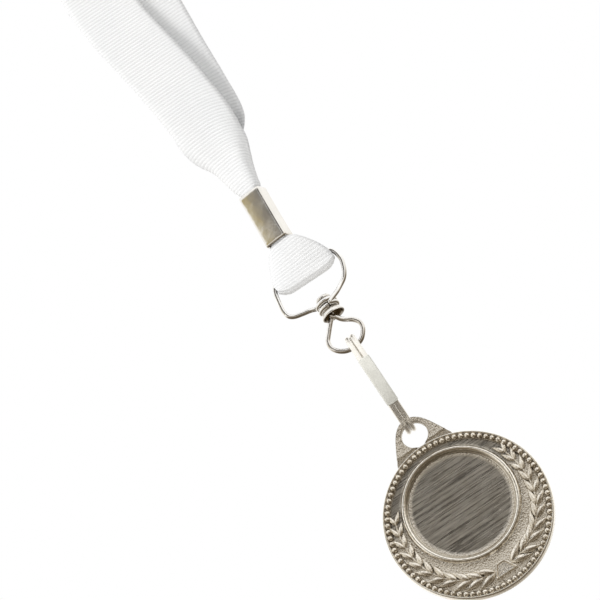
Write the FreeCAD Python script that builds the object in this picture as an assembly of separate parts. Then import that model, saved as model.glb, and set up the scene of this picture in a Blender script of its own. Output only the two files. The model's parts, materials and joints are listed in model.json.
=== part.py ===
import FreeCAD, Part
import math
import os
from FreeCAD import Vector

# Award medal that hangs from its neck ribbon, in millimetres, +Z up, front face towards -Y.
# The origin is the point where the folded neck ribbon bears on a peg or hook along X.
# From the top down: ribbon hank and its tie, two ribbon strands, crimp, ribbon fold round the bar
# of a wire strap loop, swivel, pear-shaped wire eye, double-turn ring with a closing sleeve, medal.

# ---------------------------------------------------------------- driving dimensions
# Neck ribbon
RIBBON_WIDTH = 16.0
RIBBON_THICKNESS = 0.6
HANK_RUN = 46.0             # straight length of the folded runs
HANK_GAP_RADIUS = 2.5       # room for the peg inside the innermost bight
HANK_LAYERS = 3             # double plies on each side of the gap
HANK_LAYER_PITCH = 1.25     # one double ply
STRAND_LENGTH = 79.2        # hank bottom to crimp top
STRAND_SPREAD = 9.0         # how far apart the two strands are where they leave the hank
STRAND_TAPER = 27.0         # height over which a strand opens from gathered to flat
STRAND_GAP = 0.3            # clear distance between the two strands at the crimp
FOLD_DROP = 8.4             # crimp bottom to the bar that the ribbon turns round
FOLD_CLEARANCE = 0.1        # ribbon fold to bar, radial
FOLD_EDGE_CLEARANCE = 0.7   # ribbon fold edge to the side wire of the strap loop

# Tie round the hank
TIE_HEIGHT = 6.0
TIE_THICKNESS = 0.8

# Crimp that gathers the ribbon
CRIMP_WIDTH = 6.3
CRIMP_DEPTH = 4.4
CRIMP_LENGTH = 14.9
CRIMP_WALL = 0.5
CRIMP_CORNER = 1.1
CRIMP_TURN = -22.0          # degrees about Z, the ribbon twists between crimp and bar

# Strap loop, swivel and eye, bent from one gauge of wire
WIRE_RADIUS = 0.6
LOOP_SIDE_ROOM = 0.65       # ribbon's edge to the centre line of the loop's side wire
LOOP_HEIGHT = 12.1          # bar to the middle of the swivel
LOOP_SHOULDER = 4.7         # swivel middle to the lower corners
LOOP_TOP_BEND = 1.6
LOOP_LOWER_BEND = 1.5
LOOP_TURNS = 2              # turns of wire wrapped round the swivel cup
WRAP_JOIN = 0.006           # how far the wraps' wire swells so that neighbouring turns join

CUP_WALL = 0.38
CUP_BORE_CLEARANCE = 0.1    # eye legs in the cup's bore, radial
CUP_NECK_SPARE = 0.2        # neck length above the wraps
CUP_LIP_WIDTH = 0.6
CUP_LIP_HEIGHT = 0.45
CUP_FLARE_WIDTH = 1.25
CUP_FLARE_HEIGHT = 1.5
WRAP_GAP = 0.02             # wraps to neck

EYE_RADIUS = 4.4            # to the wire's centre line
EYE_DROP = 12.0             # swivel middle to the centre line of the eye's lowest point
EYE_LEG_GAP = 0.06          # between the two legs in the bore
EYE_NECK_BEND = 1.5         # centre-line radius where the legs flare out

BUTTON_OVERHANG = 0.57      # button's edge beyond the cup's bore
BUTTON_HEIGHT = 1.2
BUTTON_FLOAT = 0.1          # play between the button and the cup's lip
BUTTON_GRIP = 0.6           # length of the eye's legs inside the button

# Ring of two turns of wire, closed with a sleeve
RING_OUTER_RADIUS = 13.75
RING_WIRE_RADIUS = 0.65
RING_TURN_GAP = 0.02        # between the two turns
RING_HANG_GAP = 0.15        # ring to the eye's wire at the top
RING_CROSSING = 40.0        # degrees over which the wire crosses from one turn to the other
RING_KNUCKLE_SPARE = 0.02   # wire's swelling where it bends into the crossing
SLEEVE_ARC = 54.4           # degrees of the ring that the sleeve covers
SLEEVE_DROP = 15.3          # degrees that the sleeve's middle lies below the ring's front
SLEEVE_WALL = 0.2
SLEEVE_CORNER = 0.35

# Medal casting
MEDAL_RADIUS = 20.0
MEDAL_FIELD_FRONT = 0.6     # field's distance in front of the middle plane
MEDAL_BACK = 1.4            # back face's distance behind the middle plane
RIM_FRONT = 1.6
RIM_WIDTH = 1.9
RIM_CHAMFER = 0.4
SEAT_RADIUS = 12.5          # flat seat for a 25 mm insert
SEAT_DEPTH = 0.3            # seat floor below the field
SEAT_RISE = 3.1             # seat's centre above the medal's centre
SURROUND_BEVEL = 0.6
SURROUND_WIDTH = 1.7        # raised round moulding about the seat
SURROUND_FRONT = 1.5
SURROUND_SLOPE = 0.6
LUG_HOLE_RADIUS = 3.2
LUG_HOLE_CLEARANCE = 0.12   # ring to the top of the hole
LUG_BAND = 1.15             # metal over the hole
LUG_HOLE_MARGIN = 0.2       # disc's edge to the hole's lowest point
LUG_BASE_HALF_WIDTH = 7.6
LUG_HALF_THICKNESS = 1.1

CUT_OVERRUN = 1.0           # how far a cutting shape runs past what it cuts

# ---------------------------------------------------------------- places that follow from them
LOOP_HALF_WIDTH = RIBBON_WIDTH / 2 + LOOP_SIDE_ROOM     # to the wire's centre line
HANK_OUTER = HANK_GAP_RADIUS + HANK_LAYERS * HANK_LAYER_PITCH
HANK_TOP_CENTRE = -HANK_GAP_RADIUS
HANK_LOW_CENTRE = HANK_TOP_CENTRE - HANK_RUN
HANK_BOTTOM = HANK_LOW_CENTRE - HANK_OUTER
CRIMP_TOP = HANK_BOTTOM - STRAND_LENGTH
CRIMP_BOTTOM = CRIMP_TOP - CRIMP_LENGTH
BAR_Z = CRIMP_BOTTOM - FOLD_DROP
SWIVEL_Z = BAR_Z - LOOP_HEIGHT

EYE_LEG_X = WIRE_RADIUS + EYE_LEG_GAP / 2
CUP_BORE = EYE_LEG_X + WIRE_RADIUS + CUP_BORE_CLEARANCE
CUP_NECK = CUP_BORE + CUP_WALL
WRAP_RADIUS = CUP_NECK + WRAP_GAP + WIRE_RADIUS
WRAP_HALF_HEIGHT = LOOP_TURNS * WIRE_RADIUS
CUP_LIP_LOW = WRAP_HALF_HEIGHT + CUP_NECK_SPARE
CUP_TOP = CUP_LIP_LOW + CUP_LIP_HEIGHT
BUTTON_RADIUS = CUP_BORE + BUTTON_OVERHANG
BUTTON_LOW = CUP_TOP + BUTTON_FLOAT
EYE_LOW_Z = SWIVEL_Z - EYE_DROP
EYE_CENTRE_Z = EYE_LOW_Z + EYE_RADIUS

RING_RADIUS = RING_OUTER_RADIUS - RING_WIRE_RADIUS
RING_TURN_X = RING_WIRE_RADIUS + RING_TURN_GAP / 2
RING_CENTRE_Z = EYE_LOW_Z + WIRE_RADIUS + RING_HANG_GAP - (RING_RADIUS - RING_WIRE_RADIUS)
RING_LOW_Z = RING_CENTRE_Z - RING_RADIUS
RING_TO_HOLE = LUG_HOLE_RADIUS - RING_WIRE_RADIUS - LUG_HOLE_CLEARANCE
HOLE_Z = RING_LOW_Z - math.sqrt(RING_TO_HOLE ** 2 - RING_TURN_X ** 2)
LUG_RISE = MEDAL_RADIUS + LUG_HOLE_RADIUS + LUG_HOLE_MARGIN     # medal centre to hole centre
LUG_BASE_DROP = LUG_RISE - math.sqrt(MEDAL_RADIUS ** 2 - LUG_BASE_HALF_WIDTH ** 2)
MEDAL_Z = HOLE_Z - LUG_RISE
SEAT_Z = MEDAL_Z + SEAT_RISE

X_AXIS = Vector(1, 0, 0)
Y_AXIS = Vector(0, 1, 0)
Z_AXIS = Vector(0, 0, 1)


# ---------------------------------------------------------------- helpers
def face_from(points):
    """Flat face bounded by straight lines through the points."""
    return Part.Face(Part.makePolygon(points + [points[0]]))


def rounded_rectangle(width, depth, corner, z):
    """Wire in the XY plane at height z, centred on the Z axis, with round corners."""
    block = Part.makeBox(width, depth, 1.0, Vector(-width / 2, -depth / 2, z))
    if corner > 0:
        uprights = [e for e in block.Edges if abs(e.tangentAt(e.FirstParameter).z) > 0.9]
        block = block.makeFillet(corner, uprights)
    low_face = min(block.Faces, key=lambda f: f.CenterOfMass.z)
    return low_face.OuterWire


def rounded_path(points, bends):
    """Wire of straight runs through the points, with a tangent arc at each inner point."""
    edges = []
    start = points[0]
    for corner, following, bend in zip(points[1:-1], points[2:], bends):
        to_start = (start - corner).normalize()
        to_next = (following - corner).normalize()
        half_angle = to_start.getAngle(to_next) / 2
        setback = bend / math.tan(half_angle)
        middle = (to_start + to_next).normalize()
        arc_start = corner + to_start * setback
        arc_end = corner + to_next * setback
        arc_middle = corner + middle * (bend / math.sin(half_angle) - bend)
        edges.append(Part.LineSegment(start, arc_start).toShape())
        edges.append(Part.Arc(arc_start, arc_middle, arc_end).toShape())
        start = arc_end
    edges.append(Part.LineSegment(start, points[-1]).toShape())
    return Part.Wire(edges)


def tube(path, radius):
    """Round wire of the given radius that follows the path from end to end."""
    first = path.Edges[0]
    section = Part.Wire(Part.makeCircle(radius, first.valueAt(first.FirstParameter),
                                        first.tangentAt(first.FirstParameter)))
    return path.makePipeShell([section], True, False, 2)


def polar(radius, degrees):
    """Point on a circle in the YZ plane, counted from the front (-Y) towards the bottom."""
    angle = math.radians(degrees)
    return Vector(0, -radius * math.cos(angle), -radius * math.sin(angle))


# ---------------------------------------------------------------- neck ribbon and tie
def racetrack(outer, width):
    """Solid with straight sides and round ends about the hank's two turning lines."""
    top = Part.makeCylinder(outer, width, Vector(-width / 2, 0, HANK_TOP_CENTRE), X_AXIS)
    low = Part.makeCylinder(outer, width, Vector(-width / 2, 0, HANK_LOW_CENTRE), X_AXIS)
    middle = Part.makeBox(width, 2 * outer, HANK_RUN, Vector(-width / 2, -outer, HANK_LOW_CENTRE))
    return top.fuse([low, middle]).removeSplitter()


def make_hank():
    inner = racetrack(HANK_GAP_RADIUS, RIBBON_WIDTH + 2 * CUT_OVERRUN)
    return racetrack(HANK_OUTER, RIBBON_WIDTH).cut(inner)


def make_tie():
    z = (HANK_TOP_CENTRE + HANK_LOW_CENTRE - TIE_HEIGHT) / 2
    outer = Part.Face(rounded_rectangle(RIBBON_WIDTH + 2 * TIE_THICKNESS,
                                        2 * (HANK_OUTER + TIE_THICKNESS), TIE_THICKNESS, z))
    inner = Part.makeBox(RIBBON_WIDTH, 2 * HANK_OUTER, TIE_HEIGHT,
                         Vector(-RIBBON_WIDTH / 2, -HANK_OUTER, z))
    return outer.extrude(Z_AXIS * TIE_HEIGHT).cut(inner)


def crimp_room():
    """Width and depth of the space inside the crimp."""
    return (CRIMP_WIDTH - 2 * CRIMP_WALL, CRIMP_DEPTH - 2 * CRIMP_WALL)


def section(width, depth, x, y, z, turn):
    """Level rectangle turned about Z through the origin's vertical, for a loft."""
    wire = rounded_rectangle(width, depth, 0, z)
    wire.translate(Vector(x, y, 0))
    wire.rotate(Vector(0, 0, 0), Z_AXIS, turn)
    return wire


def make_strand(side):
    """Ribbon strand from inside the crimp up to the hank; side is -1 in front, +1 behind."""
    room_width, room_depth = crimp_room()
    ply = (room_depth - STRAND_GAP) / 2
    ply_y = side * (STRAND_GAP + ply) / 2
    flat_y = side * (RIBBON_THICKNESS + STRAND_GAP)
    share = STRAND_TAPER / STRAND_LENGTH
    lean = side * STRAND_SPREAD / 2 * share
    top_y = -HANK_OUTER + HANK_LAYER_PITCH / 2 + side * HANK_LAYER_PITCH / 4
    low = section(room_width, ply, 0, ply_y, CRIMP_TOP - CRIMP_LENGTH / 2, CRIMP_TURN)
    mouth = section(room_width, ply, 0, ply_y, CRIMP_TOP, CRIMP_TURN)
    opened = section(RIBBON_WIDTH, RIBBON_THICKNESS, lean,
                     flat_y + (top_y - side * RIBBON_THICKNESS) * share,
                     CRIMP_TOP + STRAND_TAPER, 0)
    top = section(RIBBON_WIDTH, RIBBON_THICKNESS, side * STRAND_SPREAD / 2, top_y, HANK_LOW_CENTRE, 0)
    gathered = Part.makeLoft([low, mouth], True, True)
    opening = Part.makeLoft([mouth, opened], True, True)
    straight = Part.makeLoft([opened, top], True, True)
    strand = gathered.fuse([opening, straight]).removeSplitter()
    keep_out = racetrack(HANK_OUTER, 4 * RIBBON_WIDTH)
    pieces = strand.cut(keep_out).Solids
    return max(pieces, key=lambda piece: piece.Volume)


def make_fold():
    """Ribbon from inside the crimp down, round the bar of the strap loop and back up."""
    room_width, room_depth = crimp_room()
    fold_width = 2 * (LOOP_HALF_WIDTH - WIRE_RADIUS - FOLD_EDGE_CLEARANCE)
    inner = WIRE_RADIUS + FOLD_CLEARANCE
    outer = inner + RIBBON_THICKNESS
    low = section(room_width, room_depth, 0, 0, CRIMP_TOP - CRIMP_LENGTH / 2, CRIMP_TURN)
    mouth = section(room_width, room_depth, 0, 0, CRIMP_BOTTOM, CRIMP_TURN)
    bar_level = section(fold_width, 2 * outer, 0, 0, BAR_Z, 0)
    gathered = Part.makeLoft([low, mouth], True, True)
    opening = Part.makeLoft([mouth, bar_level], True, True)
    turn = Part.makeCylinder(outer, fold_width, Vector(-fold_width / 2, 0, BAR_Z), X_AXIS)
    hole = Part.makeCylinder(inner, fold_width + 2 * CUT_OVERRUN,
                             Vector(-fold_width / 2 - CUT_OVERRUN, 0, BAR_Z), X_AXIS)
    return gathered.fuse([opening, turn]).cut(hole).removeSplitter()


# ---------------------------------------------------------------- crimp, strap loop and swivel
def make_crimp():
    outer = Part.Face(rounded_rectangle(CRIMP_WIDTH, CRIMP_DEPTH, CRIMP_CORNER, CRIMP_BOTTOM))
    room_width, room_depth = crimp_room()
    inner = Part.makeBox(room_width, room_depth, CRIMP_LENGTH,
                         Vector(-room_width / 2, -room_depth / 2, CRIMP_BOTTOM))
    crimp = outer.extrude(Z_AXIS * CRIMP_LENGTH).cut(inner)
    crimp.rotate(Vector(0, 0, 0), Z_AXIS, CRIMP_TURN)
    return crimp


def make_strap_loop():
    """Five-sided wire loop whose two ends are wrapped round the swivel cup."""
    shoulder_z = SWIVEL_Z + LOOP_SHOULDER
    end_z = SWIVEL_Z + WIRE_RADIUS
    corners = [Vector(-WRAP_RADIUS, 0, end_z),
               Vector(-LOOP_HALF_WIDTH, 0, shoulder_z),
               Vector(-LOOP_HALF_WIDTH, 0, BAR_Z),
               Vector(LOOP_HALF_WIDTH, 0, BAR_Z),
               Vector(LOOP_HALF_WIDTH, 0, shoulder_z),
               Vector(WRAP_RADIUS, 0, end_z)]
    bends = [LOOP_LOWER_BEND, LOOP_TOP_BEND, LOOP_TOP_BEND, LOOP_LOWER_BEND]
    loop = tube(rounded_path(corners, bends), WIRE_RADIUS)
    low_turn_z = SWIVEL_Z - WRAP_HALF_HEIGHT + WIRE_RADIUS
    turns = [Part.makeTorus(WRAP_RADIUS, WIRE_RADIUS + WRAP_JOIN,
                            Vector(0, 0, low_turn_z + 2 * WIRE_RADIUS * i))
             for i in range(LOOP_TURNS)]
    return loop.fuse(turns)


def make_swivel_cup():
    """Turned cup, mouth down, that the eye's legs pass through."""
    flare_top = -WRAP_HALF_HEIGHT - WRAP_GAP
    flare_low = flare_top - CUP_FLARE_HEIGHT
    outline = [(CUP_BORE, CUP_TOP), (CUP_NECK + CUP_LIP_WIDTH, CUP_TOP),
               (CUP_NECK + CUP_LIP_WIDTH, CUP_LIP_LOW), (CUP_NECK, CUP_LIP_LOW),
               (CUP_NECK, flare_top), (CUP_NECK + CUP_FLARE_WIDTH, flare_low),
               (CUP_BORE + CUP_FLARE_WIDTH, flare_low), (CUP_BORE, flare_top)]
    face = face_from([Vector(r, 0, SWIVEL_Z + z) for r, z in outline])
    return face.revolve(Vector(0, 0, 0), Z_AXIS, 360)


def make_swivel_eye():
    """Pear-shaped wire eye: two legs side by side that flare out into a round loop."""
    leg_top = SWIVEL_Z + BUTTON_LOW + BUTTON_GRIP
    bend_x = EYE_LEG_X + EYE_NECK_BEND
    bend_z = EYE_CENTRE_Z + math.sqrt((EYE_RADIUS + EYE_NECK_BEND) ** 2 - bend_x ** 2)
    to_bend = Vector(bend_x, 0, bend_z - EYE_CENTRE_Z).normalize()
    join = Vector(0, 0, EYE_CENTRE_Z) + to_bend * EYE_RADIUS
    centre = Vector(bend_x, 0, bend_z)
    half_way = ((join - centre).normalize() + Vector(-1, 0, 0)).normalize()
    bend_middle = centre + half_way * EYE_NECK_BEND
    bend_start = Vector(EYE_LEG_X, 0, bend_z)

    def left(point):
        return Vector(-point.x, point.y, point.z)

    lowest = Vector(0, 0, EYE_LOW_Z)
    edges = [Part.LineSegment(Vector(EYE_LEG_X, 0, leg_top), bend_start).toShape(),
             Part.Arc(bend_start, bend_middle, join).toShape(),
             Part.Arc(join, lowest, left(join)).toShape(),
             Part.Arc(left(join), left(bend_middle), left(bend_start)).toShape(),
             Part.LineSegment(left(bend_start), Vector(-EYE_LEG_X, 0, leg_top)).toShape()]
    return tube(Part.Wire(edges), WIRE_RADIUS)


def make_swivel_button(eye):
    """Domed head on the ends of the eye's legs, above the cup."""
    low = SWIVEL_Z + BUTTON_LOW
    dome_radius = (BUTTON_RADIUS ** 2 + BUTTON_HEIGHT ** 2) / (2 * BUTTON_HEIGHT)
    dome = Part.makeSphere(dome_radius, Vector(0, 0, low + BUTTON_HEIGHT - dome_radius))
    blank = Part.makeCylinder(2 * BUTTON_RADIUS, BUTTON_HEIGHT + CUT_OVERRUN, Vector(0, 0, low))
    return dome.common(blank).cut(eye)


# ---------------------------------------------------------------- ring
def ring_point(degrees, x):
    return Vector(x, 0, RING_CENTRE_Z) + polar(RING_RADIUS, degrees)


def round_arc(start, through, end, radius):
    """Round wire of the given radius along the circular arc through three points."""
    arc = Part.Arc(start, through, end).toShape()
    curve = arc.Curve
    turn = math.degrees(arc.LastParameter - arc.FirstParameter)
    disc = Part.Face(Part.Wire(Part.makeCircle(radius, start, arc.tangentAt(arc.FirstParameter))))
    return disc.revolve(curve.Center, curve.Axis, turn)


def make_ring():
    """Wire of two turns; it crosses from one turn to the other inside the sleeve."""
    start = SLEEVE_DROP + RING_CROSSING / 2
    end = SLEEVE_DROP - RING_CROSSING / 2 + 360
    middle = (start + end) / 2
    turns = [round_arc(ring_point(start, x), ring_point(middle, x), ring_point(end, x), RING_WIRE_RADIUS)
             for x in (-RING_TURN_X, RING_TURN_X)]
    leave = ring_point(end, -RING_TURN_X)
    arrive = ring_point(start, RING_TURN_X)
    crossing = round_arc(leave, ring_point(SLEEVE_DROP, 0), arrive, RING_WIRE_RADIUS)
    knuckles = [Part.makeSphere(RING_WIRE_RADIUS + RING_KNUCKLE_SPARE, place)
                for place in (leave, arrive)]
    ring = turns[0]
    for piece in (knuckles[0], crossing, knuckles[1], turns[1]):
        ring = ring.fuse(piece)
    return ring


def make_sleeve(ring):
    """Flat closing sleeve, bent to the ring's curve, pressed over both turns."""
    half_x = RING_TURN_X + RING_WIRE_RADIUS + SLEEVE_WALL
    half_r = RING_WIRE_RADIUS + SLEEVE_WALL
    block = Part.makeBox(2 * half_x, 1.0, 2 * half_r, Vector(-half_x, 0, -half_r))
    uprights = [e for e in block.Edges if abs(e.tangentAt(e.FirstParameter).y) > 0.9]
    block = block.makeFillet(SLEEVE_CORNER, uprights)
    face = Part.Face(min(block.Faces, key=lambda f: f.CenterOfMass.y).OuterWire)
    face.translate(Vector(0, 0, RING_RADIUS))
    band = face.revolve(Vector(0, 0, 0), X_AXIS, SLEEVE_ARC)
    band.rotate(Vector(0, 0, 0), X_AXIS, 90 + SLEEVE_DROP - SLEEVE_ARC / 2)
    band.translate(Vector(0, 0, RING_CENTRE_Z))
    return band.cut(ring)


# ---------------------------------------------------------------- medal
def turned(outline, z):
    """Solid turned about the Y axis through height z from (radius, y) points."""
    face = face_from([Vector(r, y, 0) for r, y in outline])
    solid = face.revolve(Vector(0, 0, 0), Y_AXIS, 360)
    solid.translate(Vector(0, 0, z))
    return solid


def make_medal():
    """Cast disc with a raised rim, a round seat inside a raised moulding, and a lug."""
    rim_inner = MEDAL_RADIUS - RIM_WIDTH
    disc = turned([(0, -MEDAL_FIELD_FRONT), (rim_inner, -MEDAL_FIELD_FRONT),
                   (rim_inner + RIM_CHAMFER, -RIM_FRONT), (MEDAL_RADIUS - RIM_CHAMFER, -RIM_FRONT),
                   (MEDAL_RADIUS, -RIM_FRONT + RIM_CHAMFER), (MEDAL_RADIUS, MEDAL_BACK - RIM_CHAMFER),
                   (MEDAL_RADIUS - RIM_CHAMFER, MEDAL_BACK), (0, MEDAL_BACK)], MEDAL_Z)
    seat_y = SEAT_DEPTH - MEDAL_FIELD_FRONT
    crest = SEAT_RADIUS + SURROUND_BEVEL
    outer = SEAT_RADIUS + SURROUND_WIDTH
    moulding = turned([(0, 0), (0, -SURROUND_FRONT), (outer - SURROUND_SLOPE, -SURROUND_FRONT),
                       (outer, -MEDAL_FIELD_FRONT), (outer, 0)], SEAT_Z)
    seat = turned([(0, seat_y), (SEAT_RADIUS, seat_y), (crest, -SURROUND_FRONT),
                   (crest, -SURROUND_FRONT - CUT_OVERRUN),
                   (0, -SURROUND_FRONT - CUT_OVERRUN)], SEAT_Z)

    lug_outer = LUG_HOLE_RADIUS + LUG_BAND
    reach = math.hypot(LUG_BASE_HALF_WIDTH, LUG_BASE_DROP)
    base_angle = math.atan2(-LUG_BASE_DROP, LUG_BASE_HALF_WIDTH)
    touch_angle = base_angle + math.acos(lug_outer / reach)
    touch = Vector(lug_outer * math.cos(touch_angle), 0, HOLE_Z + lug_outer * math.sin(touch_angle))
    base_z = HOLE_Z - LUG_BASE_DROP
    root_z = HOLE_Z - LUG_BASE_DROP - RIM_WIDTH
    edges = [Part.Arc(touch, Vector(0, 0, HOLE_Z + lug_outer), Vector(-touch.x, 0, touch.z)).toShape()]
    corners = [Vector(-touch.x, 0, touch.z), Vector(-LUG_BASE_HALF_WIDTH, 0, base_z),
               Vector(-LUG_BASE_HALF_WIDTH, 0, root_z), Vector(LUG_BASE_HALF_WIDTH, 0, root_z),
               Vector(LUG_BASE_HALF_WIDTH, 0, base_z), touch]
    edges += [Part.LineSegment(a, b).toShape() for a, b in zip(corners, corners[1:])]
    outline = Part.Face(Part.Wire(edges))
    outline.translate(Vector(0, -LUG_HALF_THICKNESS, 0))
    lug = outline.extrude(Y_AXIS * 2 * LUG_HALF_THICKNESS)
    clear_of_disc = Part.makeCylinder(rim_inner + RIM_CHAMFER, 4 * LUG_HALF_THICKNESS,
                                      Vector(0, -2 * LUG_HALF_THICKNESS, MEDAL_Z), Y_AXIS)
    hole = Part.makeCylinder(LUG_HOLE_RADIUS, 4 * RIM_FRONT, Vector(0, -2 * RIM_FRONT, HOLE_Z), Y_AXIS)
    return disc.fuse([moulding, lug.cut(clear_of_disc)]).cut([seat, hole]).removeSplitter()


# ---------------------------------------------------------------- write the parts
def main():
    eye = make_swivel_eye()
    ring = make_ring()
    nodes = {
        "neck_ribbon_hank": make_hank(),
        "hank_tie": make_tie(),
        "neck_ribbon_front_strand": make_strand(-1),
        "neck_ribbon_back_strand": make_strand(1),
        "ribbon_crimp": make_crimp(),
        "neck_ribbon_fold": make_fold(),
        "strap_loop": make_strap_loop(),
        "swivel_cup": make_swivel_cup(),
        "swivel_eye": eye,
        "swivel_button": make_swivel_button(eye),
        "split_ring": ring,
        "ring_sleeve": make_sleeve(ring),
        "medal_casting": make_medal(),
    }
    os.makedirs("parts", exist_ok=True)
    for name, shape in nodes.items():
        shape.exportStep("parts/" + name + ".step")
        box = shape.BoundBox
        print("%-26s solids %d valid %s volume %9.2f  x %.2f..%.2f  y %.2f..%.2f  z %.2f..%.2f"
              % (name, len(shape.Solids), shape.isValid(), shape.Volume, box.XMin, box.XMax,
                 box.YMin, box.YMax, box.ZMin, box.ZMax))
    print("bar %.3f swivel %.3f eye low %.3f ring centre %.3f hole %.3f medal %.3f seat %.3f"
          % (BAR_Z, SWIVEL_Z, EYE_LOW_Z, RING_CENTRE_Z, HOLE_Z, MEDAL_Z, SEAT_Z))


main()
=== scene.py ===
# %% [markdown]
# An award medal on its neck ribbon.
# A white ribbed ribbon is gathered in a nickel crimp and goes round the bar of a wire strap loop.
# The loop's ends are wrapped round a swivel, a wire eye turns in the swivel, a ring of two turns of
# wire hangs in the eye, and the cast medal hangs in the ring.
# This lesson builds the medal first, then each piece above it in turn, up to the ribbon and its tie.
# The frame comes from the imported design: it fixes every axis, height and size used below.

# %% Load the frame
import bpy
import bmesh
import json
import math
import numpy as np
from mathutils import Matrix, Vector


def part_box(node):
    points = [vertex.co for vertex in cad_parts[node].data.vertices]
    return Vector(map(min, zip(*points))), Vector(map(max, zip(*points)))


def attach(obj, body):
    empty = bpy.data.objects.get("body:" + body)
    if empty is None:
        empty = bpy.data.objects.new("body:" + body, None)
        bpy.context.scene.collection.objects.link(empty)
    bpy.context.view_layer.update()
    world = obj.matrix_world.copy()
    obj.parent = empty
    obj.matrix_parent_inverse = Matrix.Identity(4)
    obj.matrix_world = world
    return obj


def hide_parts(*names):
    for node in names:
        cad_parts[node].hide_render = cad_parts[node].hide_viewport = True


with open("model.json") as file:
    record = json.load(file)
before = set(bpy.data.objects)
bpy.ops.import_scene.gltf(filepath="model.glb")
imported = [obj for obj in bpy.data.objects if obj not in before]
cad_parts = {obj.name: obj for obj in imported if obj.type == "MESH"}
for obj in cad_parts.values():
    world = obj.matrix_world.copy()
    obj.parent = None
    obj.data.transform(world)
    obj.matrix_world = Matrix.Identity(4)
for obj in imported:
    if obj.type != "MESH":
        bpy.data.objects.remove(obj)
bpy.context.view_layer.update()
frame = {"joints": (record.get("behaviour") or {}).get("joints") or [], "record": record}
MM = 0.001


def span(node):
    """Lowest and highest corner of a node of the frame, in millimetres."""
    return tuple(np.array(corner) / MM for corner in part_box(node))


def new_object(name, data):
    """Puts a mesh, a lamp or a camera into the scene."""
    thing = bpy.data.objects.new(name, data)
    bpy.context.scene.collection.objects.link(thing)
    return thing


AXIS = {joint["name"]: joint["pos_m"][2] / MM for joint in frame["joints"]}
BAR, SWIVEL, HOLE = (AXIS[name] for name in ("strap_swing", "swivel_spin", "medal_swing"))
SEAT = next(m["pos_m"] for m in frame["record"]["mounts"] if m["name"] == "insert_seat")
print("heights in mm: bar %.2f, swivel %.2f, lug hole %.2f" % (BAR, SWIVEL, HOLE))

# %% [markdown]
# The camera looks up at the medal from below, and it is rolled, so that the ribbon comes in from the
# upper left. A long lens keeps the perspective weak, which suits a small object.
# The aim is found from the medal's own place, so the view follows the design when sizes change.

# %% Camera
MEDAL_LOW, MEDAL_HIGH = span("medal_casting")
MEDAL_RADIUS = MEDAL_HIGH[0]
MEDAL = MEDAL_LOW[2] + MEDAL_RADIUS

CAMERA_OUT = 700.0
CAMERA_BELOW = 218.0
CAMERA_SIDE = -4.7
CAMERA_PITCH = math.radians(22.22)
CAMERA_ROLL = math.radians(33.8)


def make_camera():
    data = bpy.data.cameras.new("camera")
    data.lens = 190.0
    data.sensor_width = 36.0
    data.clip_start = 0.01
    data.clip_end = 20.0
    camera = new_object("camera", data)
    level_right = Vector((1, 0, 0))
    level_up = Vector((0, -math.sin(CAMERA_PITCH), math.cos(CAMERA_PITCH)))
    ahead = Vector((0, math.cos(CAMERA_PITCH), math.sin(CAMERA_PITCH)))
    right = level_right * math.cos(CAMERA_ROLL) - level_up * math.sin(CAMERA_ROLL)
    up = level_up * math.cos(CAMERA_ROLL) + level_right * math.sin(CAMERA_ROLL)
    turn = Matrix((right, up, -ahead)).transposed().to_4x4()
    place = Vector((CAMERA_SIDE, -CAMERA_OUT, MEDAL - CAMERA_BELOW)) * MM
    camera.matrix_world = Matrix.Translation(place) @ turn
    bpy.context.scene.camera = camera
    return camera


print("camera at", [round(v, 3) for v in make_camera().location])

# %% [markdown]
# Materials, the studio and the rows of beads and leaves are all made of nodes. A few short helpers
# add a node, feed its inputs and do the sums, so that each finish below reads as a few lines.

# %% Nodes
def feed(tree, node, **inputs):
    """Sets a node's inputs, and links those whose value is another node's output."""
    for name, value in inputs.items():
        socket = node.inputs[name.replace("_", " ")]
        if isinstance(value, bpy.types.NodeSocket):
            tree.links.new(value, socket)
        else:
            socket.default_value = value
    return node


def add(tree, kind, **settings):
    """Adds a node. A setting is one of the node's own properties, or else one of its inputs."""
    node = tree.nodes.new(kind)
    inputs = {}
    for name, value in settings.items():
        if hasattr(node, name):
            setattr(node, name, value)
        else:
            inputs[name] = value
    return feed(tree, node, **inputs)


def calculate(tree, operation, first, second=0.0):
    node = add(tree, "ShaderNodeMath", operation=operation)
    for socket, value in zip(node.inputs, (first, second)):
        if isinstance(value, bpy.types.NodeSocket):
            tree.links.new(value, socket)
        else:
            socket.default_value = value
    return node.outputs[0]


def times(tree, first, second):
    return calculate(tree, "MULTIPLY", first, second)


def plus(tree, first, second):
    return calculate(tree, "ADD", first, second)


def spread(tree, source, low, high, start=0.0, end=1.0):
    """Maps a value from start..end to low..high."""
    return add(tree, "ShaderNodeMapRange", Value=source, From_Min=start, From_Max=end,
               To_Min=low, To_Max=high).outputs[0]


def ramp(tree, source, *stops):
    """Colour ramp with stops given as (position, colour or grey)."""
    node = add(tree, "ShaderNodeValToRGB", Fac=source)
    elements = node.color_ramp.elements
    for i, (position, colour) in enumerate(stops):
        element = elements[i] if i < 2 else elements.new(position)
        element.position = position
        element.color = (*colour, 1.0) if isinstance(colour, tuple) else (colour, colour, colour, 1.0)
    return node.outputs["Color"]


def mixed(tree, factor, first, second, kind="RGBA", blend="MIX"):
    return add(tree, "ShaderNodeMix", data_type=kind, blend_type=blend, Factor=factor, A=first,
               B=second).outputs["Result"]


def spot(tree, kind="Object"):
    return add(tree, "ShaderNodeTexCoord").outputs[kind]


def axes(tree, kind="Object"):
    return add(tree, "ShaderNodeSeparateXYZ", Vector=spot(tree, kind)).outputs


def noise(tree, **settings):
    return add(tree, "ShaderNodeTexNoise", **settings).outputs["Fac"]


def new_material(name):
    material = bpy.data.materials.new(name)
    material.use_nodes = True
    return material, material.node_tree, material.node_tree.nodes["Principled BSDF"]


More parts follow.
